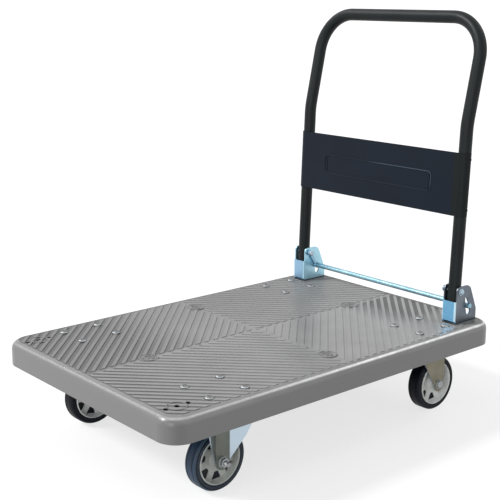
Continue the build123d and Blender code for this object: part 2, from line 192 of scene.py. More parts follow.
def facing_left(spot):
    """How far a face looks towards -X."""
    return ramp(spot.facing_x, -0.15, -0.6)


def facing_up(spot):
    """How far a face looks up."""
    return ramp(spot.facing_z, 0.80, 0.95)


# ---- materials ----


def colour(*display):
    """A linear colour from display values of 0 to 255."""
    return (*(((value / 255 + 0.055) / 1.055) ** 2.4 for value in display), 1)


def grey(value):
    """A grey from one display value."""
    return colour(value, value, value)


def node_tree(name):
    """A new material and its nodes."""
    material = bpy.data.materials.new(name)
    material.use_nodes = True
    return material, material.node_tree


def finish(name, dark, light, gloss, metallic=0.0, patch=9.0, grain=900.0, bump=0.04, stretch=(1, 1, 1),
           specular=0.5, left=None, top=None):
    """Patches of two tones, a grain in the surface and an uneven gloss.

    gloss holds the lowest and highest roughness, patch and grain are the scales of the two noises, bump
    is the grain's depth in millimetres, and stretch makes the grain longer or shorter along an axis.
    left paints light on the faces that look towards -X, and top paints shade on the faces that look up.
    """
    material, tree = node_tree(name)
    shader = tree.nodes["Principled BSDF"]
    spot = spot_on(tree)
    mapping = tree.nodes.new("ShaderNodeMapping")
    mapping.inputs["Scale"].default_value = stretch
    put(mapping.inputs["Vector"], spot.place)
    fine = noise(mapping.outputs["Vector"], grain, 2.0)
    tint = mix(ramp(noise(spot.place, patch, 4.0), 0.3, 0.7), dark, light)
    # painted light on the faces that look towards -X and painted shade on the faces that look up, where
    # these colours are given
    if left:
        tint = mix(facing_left(spot), tint, left)
    if top:
        tint = mix(facing_up(spot), tint, top)
    put(shader.inputs["Base Color"], tint)
    put(shader.inputs["Roughness"], ramp(fine, 0.3, 0.7, *gloss))
    shader.inputs["Metallic"].default_value = metallic
    shader.inputs["Specular IOR Level"].default_value = specular
    relief = tree.nodes.new("ShaderNodeBump")
    relief.inputs["Distance"].default_value = bump * MM
    relief.inputs["Strength"].default_value = 1.0
    put(relief.inputs["Height"], fine)
    put(shader.inputs["Normal"], relief.outputs["Normal"])
    return material


def shading_of(material):
    """The inputs of a finish's shader, the colour that it has so far, and the spot on the surface."""
    inputs = material.node_tree.nodes["Principled BSDF"].inputs
    return inputs, inputs["Base Color"].links[0].from_socket, spot_on(material.node_tree)


def skirt_shade(tint, spot, upright):
    """Painted shade on the deck's sides: darker below the rounded edge and towards -X."""
    below_edge = ramp(spot.z, edge_foot, edge_foot + 10, 1, 0)
    # painted shade below the rounded edge and on the faces that look towards -X
    tint = mix(product(upright, below_edge), tint, grey(121))
    return mix(facing_left(spot), tint, grey(112))


def tread_light_and_shade(tint, spot, upright, tread, level):
    """Painted light and shade: pale walls towards the handle, darker tops towards +Y, and a dark sunk floor
    that fades towards +X.
    """
    # painted light on the walls of the ribs
    walls = product(upright, tread, ramp(spot.x, -400, -100, 0.2, 1))
    tint = mix(walls, tint, grey(158))
    # painted shade on the tops towards +Y
    shaded_far_tops = product(level, tread, ramp(spot.y, 0, 200, 0, 0.75))
    tint = mix(shaded_far_tops, tint, grey(118))
    # painted shade on the sunk floor between the ribs
    sunk = product(tread, ramp(spot.z, tread_floor + 0.15, deck_top - 0.15, 1, 0), level)
    fade = product(ramp(spot.x, -420, -270, 0.8, 0.2), ramp(spot.x, -280, 60, 1.0, 0.3))
    return mix(product(sunk, fade), tint, grey(96))


def painted_rib_shadows(spot):
    """The two fields of the tread where the painted rib shadows are bolder, and the dark painted shadow
    beside each rib.
    """
    reach = math_node("ADD", size_of(spot.x), size_of(spot.y))
    from_rib = math_node("PINGPONG", reach, tread_step / 2)
    shaded_left_field = product(
        ramp(spot.x, -tread_end - 0.5, -tread_end),
        ramp(spot.x, -260, -120, 0.72, 0.15),
        ramp(spot.x, -half_lane - 0.5, -half_lane, 1, 0),
        band(spot.y, half_lane, half_lane + 0.5, tread_side, tread_side + 0.5),
        ramp(reach, 705, 706, 1, 0),
    )
    shaded_right_field = product(
        ramp(spot.x, 250, 350),
        ramp(spot.x, tread_end, tread_end + 0.5, 1, 0),
        ramp(spot.y, -half_lane - 0.5, -half_lane, 1, 0),
        ramp(spot.y, -230, -150),
    )
    # painted shadow beside each rib
    rib_shadow_ramp = ramp(from_rib, 4.4, 5.2)
    return shaded_left_field, product(rib_shadow_ramp, math_node("ADD", shaded_left_field, shaded_right_field))


def painted_crest_highlight(spot):
    """A painted highlight on the rounded edge, strongest towards -Y and the handle, broken up by noise."""
    highlight_breakup = ramp(noise(spot.place, 60, 3.0), 0.35, 0.6, 0.75, 1.0)
    return product(
        band(spot.facing_z, 0.60, 0.74, 0.80, 0.90),
        ramp(spot.z, edge_foot, edge_foot + 2),
        ramp(spot.x, -300, 50, 0.35, 1),
        ramp(spot.facing_y, -0.45, -0.10, 1, 0.3),
        highlight_breakup,
    )


def spare_hole_shade(spot):
    """Painted shade on the walls of the spare holes, below the floor of the tread."""
    across = size_of(spot.y)
    return product(
        band(across, leg_line - 6.5, leg_line - 6.0, leg_line + 6.0, leg_line + 6.5),
        ramp(size_of(spot.x), tread_end - 2.5, tread_end - 2.0, 1, 0),
        ramp(spot.z, tread_floor - 0.2, tread_floor, 1, 0),
    )


def make_deck_plastic():
    """Moulded plastic, with painted shade on the skirt, in the tread and in the holes, painted rib shadows,
    and a painted highlight on the rounded edge.
    """
    material = finish("deck_plastic", grey(129), grey(140), (0.26, 0.38), patch=14, grain=700)
    inputs, tint, spot = shading_of(material)
    upright = ramp(spot.facing_z, 0.15, 0.45, 1, 0)
    level = ramp(spot.facing_z, 0.97, 0.99)
    tread = ramp(spot.z, tread_floor - 0.25, tread_floor - 0.10)
    tint = skirt_shade(tint, spot, upright)
    tint = tread_light_and_shade(tint, spot, upright, tread, level)
    shaded_left_field, rib_shadow_bands = painted_rib_shadows(spot)
    rib_shadows = product(tread, level, rib_shadow_bands)
    # painted shade over the left field of the tread
    tint = mix(product(tread, level, shaded_left_field), tint, grey(104))
    # painted rib shadows
    tint = mix(rib_shadows, tint, grey(80))
    # painted highlight along the rounded edge
    tint = mix(painted_crest_highlight(spot), tint, grey(250))
    # painted shade in the spare holes
    put(inputs["Base Color"], mix(spare_hole_shade(spot), tint, grey(24)))
    by_bracket = product(tread, ramp(spot.x, 310, 350, 0, 0.8), ramp(size_of(spot.y), 180, 210))
    dull = math_node("ADD", rib_shadows, by_bracket)
    put(inputs["Specular IOR Level"], ramp(dull, 0, 1, 0.5, 0.12))
    return material


def make_tyre_rubber(name, dark, light, tread, shoulder, specular):
    """Dark sides, with painted light and shade on the tread and a painted highlight on the cut shoulder."""
    material = finish(name, dark, light, (0.40, 0.56), patch=30, specular=specular)
    inputs, tint, spot = shading_of(material)
    side = size_of(spot.facing_y)
    # painted light and shade on the tread
    tint = mix(ramp(side, 0.30, 0.50, 1, 0), tint, tread)
    # painted highlight on the cut shoulder
    put(inputs["Base Color"], mix(band(side, 0.50, 0.60, 0.80, 0.90), tint, shoulder))
    return material


def make_rim_plastic(name, dark, light):
    """The glossy plastic of the wheel cores."""
    return finish(name, dark, light, (0.24, 0.36), patch=40, grain=800)


def make_caster_steel(name, dark, light):
    """Pressed steel with an upright grain, and pale painted light where it looks towards -X."""
    return finish(name, dark, light, (0.30, 0.46), 0.85, patch=25, grain=260, bump=0.03, stretch=(1, 1, 6),
                  left=colour(186, 202, 214))


def make_bracket_zinc(name, dark, light, plate, bend_highlight):
    """Zinc with a painted reflection on the front plate, painted highlights on the bends, and painted shade
    at the foot.
    """
    material = finish(name, dark, light, (0.26, 0.42), 0.85, patch=28, grain=300, bump=0.03,
                      stretch=(1, 1, 5))
    inputs, tint, spot = shading_of(material)
    plate_edge = (plate_top - 0.4, plate_top + 1.1)
    plate_reflection = product(facing_left(spot), ramp(spot.z, *plate_edge, 1, 0))
    turned = ramp(product(size_of(spot.facing_x), size_of(spot.facing_y)), 0.2, 0.42)
    bend_highlights = product(turned, ramp(spot.z, *plate_edge, 1, 0.3))
    tint = mix(plate_reflection, tint, plate)
    tint = mix(bend_highlights, tint, bend_highlight)
    # painted shade at the foot
    tint = mix(ramp(spot.z, foot_top + 0.2, foot_top + 0.6, 1, 0), tint, colour(84, 96, 104))
    put(inputs["Base Color"], tint)
    put(inputs["Metallic"], ramp(bend_highlights, 0, 1, 0.85, 0.05))
    return material


def make_fastener_zinc(name, dark, light, gloss, metallic, patch, top=None):
    """Zinc of bolts and nuts, with a fine grain, and painted shade on the faces that look up where top is
    given.
    """
    return finish(name, dark, light, gloss, metallic, patch, grain=1200, bump=0.02, top=top)


def make_panel_paint():
    """Dark blue paint, with a painted reflection as dark as the tube where the sheet wraps round the right
    leg.
    """
    material = finish("panel_paint", colour(6, 16, 28), colour(11, 22, 35), (0.40, 0.54), patch=7, grain=520,
                      specular=0.16)
    inputs, tint, spot = shading_of(material)
    wrap_reflection = ramp(spot.y, 13.5 - leg_line, 15.5 - leg_line, 1, 0)
    put(inputs["Base Color"], mix(wrap_reflection, tint, colour(15, 20, 21)))
    return material


def make_bead_paint():
    """The panel's paint, with a painted highlight on the upper right part of the frame only."""
    material = finish("bead_paint", colour(7, 17, 29), colour(12, 23, 36), (0.40, 0.54), patch=12, grain=520,
                      bump=0.03, specular=0.16)
    inputs, tint, spot = shading_of(material)
    bead_highlight = product(ramp(spot.y, -20, 30, 1, 0), ramp(spot.z, 495, 515))
    put(inputs["Base Color"], mix(bead_highlight, tint, colour(58, 72, 86)))
    return material


deck_plastic = make_deck_plastic()
deck_mark = finish("deck_mark", grey(100), grey(114), (0.3, 0.42), patch=40, grain=700)

# lit and shaded copies of one rubber and one plastic: the front right wheel, nearest to the camera, has the
# greyer rubber with painted light and the darker rim; the other three wheels have darker rubber with painted
# shade and paler rims with painted light
tyre_rubber = make_tyre_rubber("tyre_rubber", colour(11, 17, 27), colour(19, 27, 39),
                               tread=colour(38, 58, 80), shoulder=colour(74, 92, 110), specular=0.26)
tyre_shaded = make_tyre_rubber("tyre_shaded", colour(7, 10, 17), colour(12, 16, 25),
                              tread=colour(6, 8, 18), shoulder=colour(24, 30, 42), specular=0.14)
rim_plastic = make_rim_plastic("rim_plastic", colour(180, 184, 180), colour(200, 203, 198))
rim_lit = make_rim_plastic("rim_lit", colour(221, 225, 224), colour(240, 242, 239))

caster_steel = make_caster_steel("caster_steel", colour(95, 99, 94), colour(112, 115, 109))
swivel_steel = make_caster_steel("swivel_steel", colour(113, 109, 95), colour(131, 126, 111))

# lit and shaded copies of one zinc: the far bracket paler with painted light, the near bracket's cheeks
# darker with painted shade
far_zinc_lit = make_bracket_zinc("bracket_zinc_far", colour(152, 196, 214), colour(174, 216, 232),
                             plate=colour(143, 180, 208), bend_highlight=colour(188, 238, 255))
near_zinc_shaded = make_bracket_zinc("bracket_zinc_near", colour(92, 99, 107), colour(110, 117, 125),
                              plate=colour(140, 208, 250), bend_highlight=colour(214, 244, 255))
bar_zinc = finish("bar_zinc", colour(128, 168, 186), colour(158, 196, 208), (0.20, 0.32), 0.75, patch=28,
                  grain=300, bump=0.02, stretch=(1, 6, 1))
spring_steel = finish("spring_steel", colour(158, 206, 232), colour(186, 228, 248), (0.28, 0.40), 0.3,
                      patch=80, bump=0.01)

bolt_zinc = make_fastener_zinc("bolt_zinc", colour(196, 202, 206), colour(222, 226, 228),
                               (0.22, 0.36), 0.9, patch=60)
# painted shade on the tops of the deck bolts' heads
head_zinc = make_fastener_zinc("head_zinc", colour(158, 162, 165), colour(182, 186, 188),
                               (0.40, 0.52), 0.4, patch=60, top=grey(96))
axle_zinc = make_fastener_zinc("axle_zinc", colour(140, 144, 146), colour(170, 174, 176),
                               (0.24, 0.38), 0.85, patch=90)
pivot_zinc = make_fastener_zinc("pivot_zinc", colour(150, 172, 186), colour(182, 202, 214),
                                (0.24, 0.38), 0.55, patch=90)
joint_shade = finish("joint_shade", grey(38), grey(50), (0.5, 0.7), patch=60, bump=0.02, specular=0.2)

handle_paint = finish("handle_paint", colour(14, 19, 20), colour(21, 27, 28), (0.38, 0.52), patch=10,
                      grain=520, specular=0.2)
panel_paint = make_panel_paint()
bead_paint = make_bead_paint()

by_slot = {
    "deck_plastic": deck_plastic,
    "tyre_rubber": tyre_rubber,
    "rim_plastic": rim_plastic,
    "caster_steel": caster_steel,
    "fastener_steel": bolt_zinc,
    "bracket_zinc": far_zinc_lit,
    "handle_paint": handle_paint,
    "panel_paint": panel_paint,
    "bar_steel": bar_zinc,
    "spring_steel": spring_steel,
}
own_material = {
    "handle_bracket_right": near_zinc_shaded,
    "swivel_fork_left": swivel_steel,
    "swivel_fork_right": swivel_steel,
}


def dress_cad_nodes():
    """Give each CAD node its own material, or else that of its slot."""
    slots = {part["node"]: part["material_slot"] for part in frame["record"]["subparts"]}
    for node, obj in frame["nodes"].items():
        material = own_material.get(node, by_slot[slots[node]])
        for holder in obj.material_slots:
            holder.material = material
        if not obj.material_slots:
            obj.data.materials.append(material)


dress_cad_nodes()

# ---- stage ----


def background_rays(tree):
    """1 for what the camera, a mirror or a glass sees directly, 0 for light."""
    path = tree.nodes.new("ShaderNodeLightPath")
    rays = path.outputs["Is Camera Ray"]
    for name in ("Is Glossy Ray", "Is Transmission Ray"):
        rays = math_node("MAXIMUM", rays, path.outputs[name])
    return rays


def make_world():
    """White to look at, and a dimmer white as light."""
    world = bpy.data.worlds.new("studio")
    bpy.context.scene.world = world
    world.use_nodes = True
    tree = world.node_tree
    background = tree.nodes["Background"]
    background.inputs["Color"].default_value = (1, 1, 1, 1)
    put(background.inputs["Strength"], ramp(background_rays(tree), 0, 1, 0.42, 1.0))


def make_floor():
    """A plain pale floor that keeps the cart's shadow."""
    bpy.ops.mesh.primitive_plane_add(size=400, location=(0, 0, 0))
    floor = bpy.context.object
    floor.name = "floor"
    material, tree = node_tree("floor_paper")
    inputs = tree.nodes["Principled BSDF"].inputs
    put(inputs["Base Color"], ramp(background_rays(tree), 0, 1, 0.5, 0.28))
    inputs["Roughness"].default_value = 0.9
    inputs["Emission Color"].default_value = (1, 1, 1, 1)
    put(inputs["Emission Strength"], ramp(background_rays(tree), 0, 1, 0.0, 0.72))
    floor.data.materials.append(material)


def make_sun(name, towards, strength, angle):
    """A sun that stands in the direction towards, seen under an angle in degrees."""
    lamp = bpy.data.lights.new(name, "SUN")
    lamp.energy = strength * math.pi
    lamp.angle = math.radians(angle)
    obj = bpy.data.objects.new(name, lamp)
    obj.rotation_euler = Vector(towards).to_track_quat("Z", "Y").to_euler()
    bpy.context.scene.collection.objects.link(obj)


def make_camera(place, azimuth, elevation, roll, focal_length):
    """A camera at a place in metres, with its angles in degrees."""
    turn, rise, tilt = (math.radians(angle) for angle in (azimuth, elevation, roll))
    level = math.cos(rise)
    back = Vector((math.sin(turn) * level, -math.cos(turn) * level, math.sin(rise)))
    right = Vector((math.cos(turn), math.sin(turn), 0))
    up = back.cross(right)
    tilted_right = math.cos(tilt) * right + math.sin(tilt) * up
    tilted_up = math.cos(tilt) * up - math.sin(tilt) * right
    axes = Matrix((tilted_right, tilted_up, back)).transposed().to_4x4()
    lens = bpy.data.cameras.new("camera")
    lens.lens = focal_length
    lens.sensor_width = 36
    camera = bpy.data.objects.new("camera", lens)
    camera.matrix_world = Matrix.Translation(place) @ axes
    bpy.context.scene.collection.objects.link(camera)
    bpy.context.scene.camera = camera


make_world()
make_floor()
make_camera((-1.4759, -1.6728, 0.9239), azimuth=-41.0, elevation=13.545, roll=0.31, focal_length=75.94)
make_sun("key", (-0.64, 0.40, 0.62), 0.90, 12)
make_sun("fill", (0.35, -0.85, 0.4), 0.06, 40)
make_sun("edge_right", (0.64, -0.21, 0.72), 0.10, 14)
make_sun("edge_back", (-0.22, 0.73, 0.62), 0.10, 14)
make_sun("low_left", (-0.88, -0.42, 0.16), 0.20, 24)
bpy.context.scene.view_settings.view_transform = "Standard"

# ---- mesh tools ----


def centre(node):
    """The middle of a CAD node's box, in metres."""
    low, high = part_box(node)
    return (low + high) / 2


def loose_parts(node):
    """The boxes of the separate solids in a CAD node."""
    bm = bmesh.new()
    bm.from_mesh(frame["nodes"][node].data)
    bmesh.ops.remove_doubles(bm, verts=bm.verts, dist=1e-6)
    left = set(bm.verts)
    boxes = []
    while left:
        stack = [left.pop()]
        group = [stack[0]]
        while stack:
            for edge in stack.pop().link_edges:
                for vert in edge.verts:
                    if vert in left:
                        left.discard(vert)
                        stack.append(vert)
                        group.append(vert)
        xs, ys, zs = zip(*[vert.co for vert in group])
        boxes.append((Vector((min(xs), min(ys), min(zs))), Vector((max(xs), max(ys), max(zs)))))
    bm.free()
    return sorted(boxes, key=lambda box: tuple(box[0]))


def loose_box(node, side):
    """The box of the first solid of a node that lies on one side of the cart."""
    return [box for box in loose_parts(node) if box[0].y * side > 0][0]


def loose_centre(node, side):
    """The middle of the solid that loose_box finds."""
    low, high = loose_box(node, side)
    return (low + high) / 2


def farthest_out(box):
    """The largest distance of a box from the cart's middle plane."""
    return max(abs(corner.y) for corner in box)


def add_piece(name, mesh, material, body, replaces=(), smooth=35):
    """Put a mesh in the scene on a body, in place of the CAD nodes that it stands for."""
    mesh.materials.clear()
    mesh.materials.append(material)
    obj = bpy.data.objects.new(name, mesh)
    bpy.context.scene.collection.objects.link(obj)
    for polygon in mesh.polygons:
        polygon.use_smooth = True
    mesh.set_sharp_from_angle(angle=math.radians(smooth))
    if body:
        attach(obj, body)
    if replaces:
        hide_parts(*replaces)
    return obj


def to_mesh(name, bm):
    """A mesh without double points, its faces turned outwards; the bmesh is freed."""
    bmesh.ops.remove_doubles(bm, verts=bm.verts, dist=1e-6)
    bmesh.ops.recalc_face_normals(bm, faces=bm.faces)
    mesh = bpy.data.meshes.new(name)
    bm.to_mesh(mesh)
    bm.free()
    return mesh


def curve_mesh(curve):
    """The mesh of a curve, which is then thrown away."""
    holder = bpy.data.objects.new(curve.name, curve)
    bpy.context.scene.collection.objects.link(holder)
    bpy.context.view_layer.update()
    mesh = bpy.data.meshes.new_from_object(holder.evaluated_get(bpy.context.evaluated_depsgraph_get()))
    bpy.data.objects.remove(holder)
    bpy.data.curves.remove(curve)
    return mesh


def add_line(curve, points):
    """Add a line of straight runs through points to a curve."""
    line = curve.splines.new("POLY")
    line.points.add(len(points) - 1)
    for point, place in zip(line.points, points):
        point.co = (*place, 1)
    return line


def wire_mesh(name, points, radius):
    """A round wire through points in metres."""
    curve = bpy.data.curves.new(name, "CURVE")
    curve.dimensions = "3D"
    curve.bevel_depth = radius
    curve.bevel_resolution = 3
    curve.use_fill_caps = True
    add_line(curve, points)
    return curve_mesh(curve)


def plate_mesh(name, loops, thickness, bevel):
    """A plate from closed loops in millimetres; inner loops are holes. Its edges are rounded."""
    curve = bpy.data.curves.new(name, "CURVE")
    curve.dimensions = "2D"
    curve.fill_mode = "BOTH"
    curve.extrude = (thickness / 2 - bevel) * MM
    curve.bevel_depth = bevel * MM
    curve.bevel_resolution = 2
    curve.offset = -bevel * MM
    for loop in loops:
        add_line(curve, [(x * MM, y * MM, 0) for x, y in loop]).use_cyclic_u = True
    return curve_mesh(curve)


def on_circle(radius, degrees):
    """The point of a circle at an angle."""
    turn = math.radians(degrees)
    return radius * math.cos(turn), radius * math.sin(turn)


def circle(radius, count):
    """Points evenly round a circle."""
    return [on_circle(radius, 360 * n / count) for n in range(count)]


def rounded(points, radius, steps=4):
    """A polygon with each corner rounded."""
    out = []
    for n, point in enumerate(points):
        here = Vector(point)
        before = (Vector(points[n - 1]) - here).normalized()
        after = (Vector(points[(n + 1) % len(points)]) - here).normalized()
        half = before.angle(after) / 2
        reach = radius / math.tan(half)
        middle = here + (before + after).normalized() * radius / math.sin(half)
        first = here + before * reach - middle
        last = here + after * reach - middle
        for k in range(steps + 1):
            out.append(tuple(middle + first.lerp(last, k / steps).normalized() * radius))
    return out


def standing_at(x, y):
    """A frame at a place in millimetres, with its Z axis up."""
    return Matrix.Translation((x * MM, y * MM, 0))


def axis_y(point, direction=1):
    """A frame at a point in metres whose Z axis lies along +Y or -Y."""
    return Matrix.Translation(point) @ Matrix.Rotation(math.radians(-90 * direction), 4, "X")


def lathe(bm, profile, steps, place):
    """Turn a closed profile of (radius, height) in millimetres round Z and put it in place."""
    rings = []
    for n in range(steps):
        spokes = [(*on_circle(radius, 360 * n / steps), height) for radius, height in profile]
        rings.append([bm.verts.new(place @ (Vector(spoke) * MM)) for spoke in spokes])
    for n, here in enumerate(rings):
        following = rings[(n + 1) % steps]
        for k in range(len(profile)):
            j = (k + 1) % len(profile)
            on_axis = profile[k][0] < 1e-6 and profile[j][0] < 1e-6
            if not on_axis:
                bm.faces.new([here[k], here[j], following[j], following[k]])


def mirrored(half):
    """A profile from its upper half."""
    return half + [(radius, -height) for radius, height in reversed(half)]


def disc(radius, low, high, edge=0.4):
    """The profile of a disc with its upper edge taken off."""
    return [(0.0, low), (radius, low), (radius, high - edge), (radius - edge, high), (0.0, high)]


def ring(inner, outer, low, high, edge=0.25):
    """The profile of a ring with its upper edges taken off."""
    crown = [(outer, high - edge), (outer - edge, high), (inner + edge, high), (inner, high - edge)]
    return [(inner, low), (outer, low)] + crown


def hexagon(bm, across, low, high, place, turn=0.0):
    """A hexagon prism with its outer corners taken off, standing from low to high."""
    radius = across / math.sqrt(3)
    chamfer = across * 0.06
    rings = []
    for size, height in ((radius, low), (radius, high - chamfer), (radius - 1.6 * chamfer, high)):
        corners = [(*on_circle(size, 60 * n + turn), height) for n in range(6)]
        rings.append([bm.verts.new(place @ (Vector(corner) * MM)) for corner in corners])
    for lower, upper in zip(rings, rings[1:]):
        for k in range(6):
            bm.faces.new([lower[k], lower[(k + 1) % 6], upper[(k + 1) % 6], upper[k]])
    bm.faces.new(rings[-1])
    bm.faces.new(list(reversed(rings[0])))


def thread_profile(radius, low, high, pitch=1.5):
    """Rings that read as a thread, with a pointed end."""
    points = [(0.0, low)]
    turns = max(int((high - low - 1) / pitch), 1)
    for n in range(turns):
        points += [(radius, low + n * pitch), (radius - 0.6, low + (n + 0.5) * pitch)]
    return points + [(radius, low + turns * pitch), (radius - 1.0, high), (0.0, high)]


# ---- wheels ----


def tyre_profile():
    """A solid tyre: a step at the rim, a sunk line on the side, a cut shoulder and two tread lines."""
    out = tyre_half_width
    edge = tyre_radius
    lip = [(tyre_bore, out - 1.1), (tyre_bore + 1.2, out - 0.1)]
    side_line = [(edge - 9.5, out), (edge - 8.9, out - 0.5), (edge - 7.3, out - 0.5), (edge - 6.7, out)]
    shoulder = [(edge - 2.9, out - 0.1), (edge - 1.9, out - 1.1), (edge - 1.4, out - 2.5),
                (edge - 0.3, out - 3.5)]
    tread_line = [(edge, 8.8), (edge - 0.8, 8.4), (edge - 0.8, 7.4), (edge, 7.0)]
    return mirrored(lip + side_line + shoulder + tread_line)


def rim_ring_profile():
    """The ring that holds the tyre and stands out past it."""
    out = rim_ring
    bore = tyre_bore
    seat = [(bore - 0.1, out - 3.0), (bore - 0.2, out - 0.8)]
    crown = [(bore - 1.0, out), (bore - 2.2, out), (bore - 3.0, out - 1.0)]
    inside = [(bore - 3.8, 9.0), (bore - 5.6, rim_web / 2 - 0.1)]
    return mirrored(seat + crown + inside)


def hub_profile():
    """The hub: a plain end round the axle, and a cone that runs down to the web."""
    out = hub_half_width
    return mirrored([(7.2, out), (11.0, out), (12.4, out - 0.8), (15.2, 6.5), (17.5, rim_web / 2)])


def rim_windows(phase, count=7, inner=26.5, outer=42.5, spoke=16.5):
    """The openings between spokes of one width, turned by the phase in degrees."""
    slope = math.tan(math.pi / count)
    low = inner * slope - spoke / 2
    high = outer * slope - spoke / 2
    window = rounded([(inner, -low), (outer, -high), (outer, high), (inner, low)], 1.8)
    windows = []
    for n in range(count):
        cos, sin = on_circle(1, 360 * n / count - phase)
        windows.append([(x * cos - y * sin, x * sin + y * cos) for x, y in window])
    return windows


def make_tyre(end, hand, rubber):
    """The tyre, and the rubber behind the middle of the rim's windows."""
    node = f"tyre_{end}_{hand}"
    place = axis_y(centre(node))
    bm = bmesh.new()
    lathe(bm, tyre_profile(), 128, place)
    lathe(bm, mirrored([(44.0, 1.6), (25.0, 1.6)]), 64, place)
    body = f"{end}_wheel_{hand}"
    add_piece(f"tyre_skin_{end}_{hand}", to_mesh(node, bm), rubber, body, [node], 25)


def make_rim(end, hand, plastic, phase):
    """The ring, the hub and the web with its windows."""
    node = f"rim_{end}_{hand}"
    place = axis_y(centre(node))
    bm = bmesh.new()
    lathe(bm, rim_ring_profile(), 128, place)
    lathe(bm, hub_profile(), 64, place)
    web = plate_mesh("web", [circle(45.5, 120), circle(14.0, 60)] + rim_windows(phase), rim_web, 0.9)
    web.transform(place)
    bm.from_mesh(web)
    bpy.data.meshes.remove(web)
    body = f"{end}_wheel_{hand}"
    piece = add_piece(f"wheel_core_{end}_{hand}", to_mesh(node, bm), plastic, body, [node], 30)


def make_wheel(end, hand, phase, rubber=tyre_shaded, plastic=rim_lit):
    """One wheel, turned by the phase in degrees."""
    make_tyre(end, hand, rubber)
    make_rim(end, hand, plastic, phase)


make_wheel("front", "left", 3)
make_wheel("front", "right", 13, tyre_rubber, rim_plastic)
make_wheel("rear", "left", 24)
make_wheel("rear", "right", 15)

# ---- bolts and nuts of casters and brackets ----


def make_deck_bolts(node):
    """Low flanged hexagon heads, each in a dark ring of painted shade round its joint."""
    flange, crown, across = 8.5, 6.6, 11.0
    heads = bmesh.new()
    shade_rings = bmesh.new()
    for n, (low, high) in enumerate(loose_parts(node)):
        middle = (low + high) / 2
        place = Matrix.Translation((middle.x, middle.y, low.z))
        lathe(shade_rings, disc(flange + 0.9, 0.0, 0.5, 0.2), 40, place)
        lathe(heads, [(0.0, 0.3), (flange, 0.3), (flange, 0.6), (crown, 2.2), (0.0, 2.2)], 40, place)
        hexagon(heads, across, 2.0, 3.6, place, turn=17.0 * n)
    add_piece(f"{node}_heads", to_mesh(node, heads), head_zinc, "cart", [node])
    add_piece(f"{node}_joints", to_mesh(node, shade_rings), joint_shade, "cart")


def make_under_nuts(node):
    """Nuts that hang under the sheet, each on a washer."""
    bm = bmesh.new()
    for n, (low, high) in enumerate(loose_parts(node)):
        middle = (low + high) / 2
        place = Matrix.Translation((middle.x, middle.y, high.z)) @ Matrix.Rotation(math.pi, 4, "X")
        lathe(bm, disc(9.6, 0.0, 1.4), 40, place)
        hexagon(bm, 14.0, 1.2, 7.6, place, turn=23.0 * n)
    add_piece(f"{node}_washered", to_mesh(node, bm), bolt_zinc, "cart", [node])


make_deck_bolts("caster_bolts")
make_deck_bolts("bracket_bolts")
make_under_nuts("caster_nuts")
make_under_nuts("bracket_nuts")

# ---- release springs ----


def spring_eye(middle, radius, way, across, degrees):
    """Points of an open eye; the angles run from the direction of way towards across."""
    return [middle + way * x + across * y for x, y in (on_circle(radius, angle) for angle in degrees)]


def make_spring(name, side):
    """A coil with an open eye round the pivot bolt and one round the bar."""
    wire = 0.95 * MM
    shank = 2.4 * MM
    turns, steps = 13, 18
    low, high = loose_box("release_springs", side)
    pivot = loose_centre("pivot_bolts", side)
    bar = centre("release_bar")
    line = (low.y + high.y) / 2 - side * 1.0 * MM
    top = Vector((pivot.x, line, pivot.z))
    foot = Vector((bar.x, line, bar.z))
    way = (foot - top).normalized()
    across = way.cross(Vector((0, 1, 0)))
    coil = (high.y - low.y) / 2
    upper_eye, lower_eye = 5.3 * MM + wire, 6.3 * MM + wire
    start, end = upper_eye + shank, (foot - top).length - lower_eye - shank
    points = spring_eye(top, upper_eye, -way, across, [14 * n - 140 for n in range(21)])
    for n in range(turns * steps + 1):
        x, y = on_circle(coil, 360 * n / steps)
        along = start + (end - start) * n / (turns * steps)
        points.append(top + way * along + across * x + Vector((0, y, 0)))
    points += spring_eye(foot, lower_eye, way, across, [320 - 14 * n for n in range(21)])
    obj = add_piece(name, wire_mesh(name, points, wire), spring_steel, None, ["release_springs"], 180)
    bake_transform(obj)


make_spring("spring_coil_left", 1)
make_spring("spring_coil_right", -1)

# ---- axles and pivots ----


def nut_and_thread(bm, place, washer, thread):
    """A washer, a nut and the bolt's end, standing on the sheet at the place."""
    lathe(bm, disc(washer, 0.0, 1.8, 0.5), 48, place)
    hexagon(bm, 17.0, 1.8, 9.6, place, turn=11.0)
    lathe(bm, thread_profile(bolt_thread, 9.4, 9.6 + thread), 32, place)


def make_front_axle_ends():
    """A washer, a nut and a thread at both ends of each front axle."""
    bm = bmesh.new()
    for low, high in loose_parts("front_axle_nuts"):
        side = 1 if low.y > 0 else -1
        face = low.y if side > 0 else high.y
        place = axis_y(Vector(((low.x + high.x) / 2, face, (low.z + high.z) / 2)), side)
        nut_and_thread(bm, place, 11.0, 9.5)
    add_piece("front_axle_ends", to_mesh("ends", bm), axle_zinc, "cart", ["front_axle_nuts"])


def make_rear_axle(hand):
    """The head is outside and the nut is on the inner leg."""
    side = 1 if hand == "left" else -1
    low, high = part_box(f"rear_axle_bolt_{hand}")
    outer = farthest_out((low, high)) - head_height * MM
    axis = Vector(((low.x + high.x) / 2, side * outer, (low.z + high.z) / 2))
    head_place = axis_y(axis, side)
    bm = bmesh.new()
    lathe(bm, disc(10.6, 0.0, 1.6, 0.5), 48, head_place)
    hexagon(bm, 16.0, 1.4, head_height, head_place, turn=9.0)
    lathe(bm, disc(bolt_thread + 0.08, -47.0, 0.4), 32, head_place)
    inner = farthest_out(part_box(f"rear_axle_nut_{hand}"))
    nut_and_thread(bm, axis_y(Vector((axis.x, side * inner, axis.z)), -side), 11.5, 4.0)
    replaced = [f"rear_axle_bolt_{hand}", f"rear_axle_nut_{hand}"]
    piece = add_piece(f"rear_axle_set_{hand}", to_mesh("axle", bm), axle_zinc, f"swivel_{hand}", replaced)


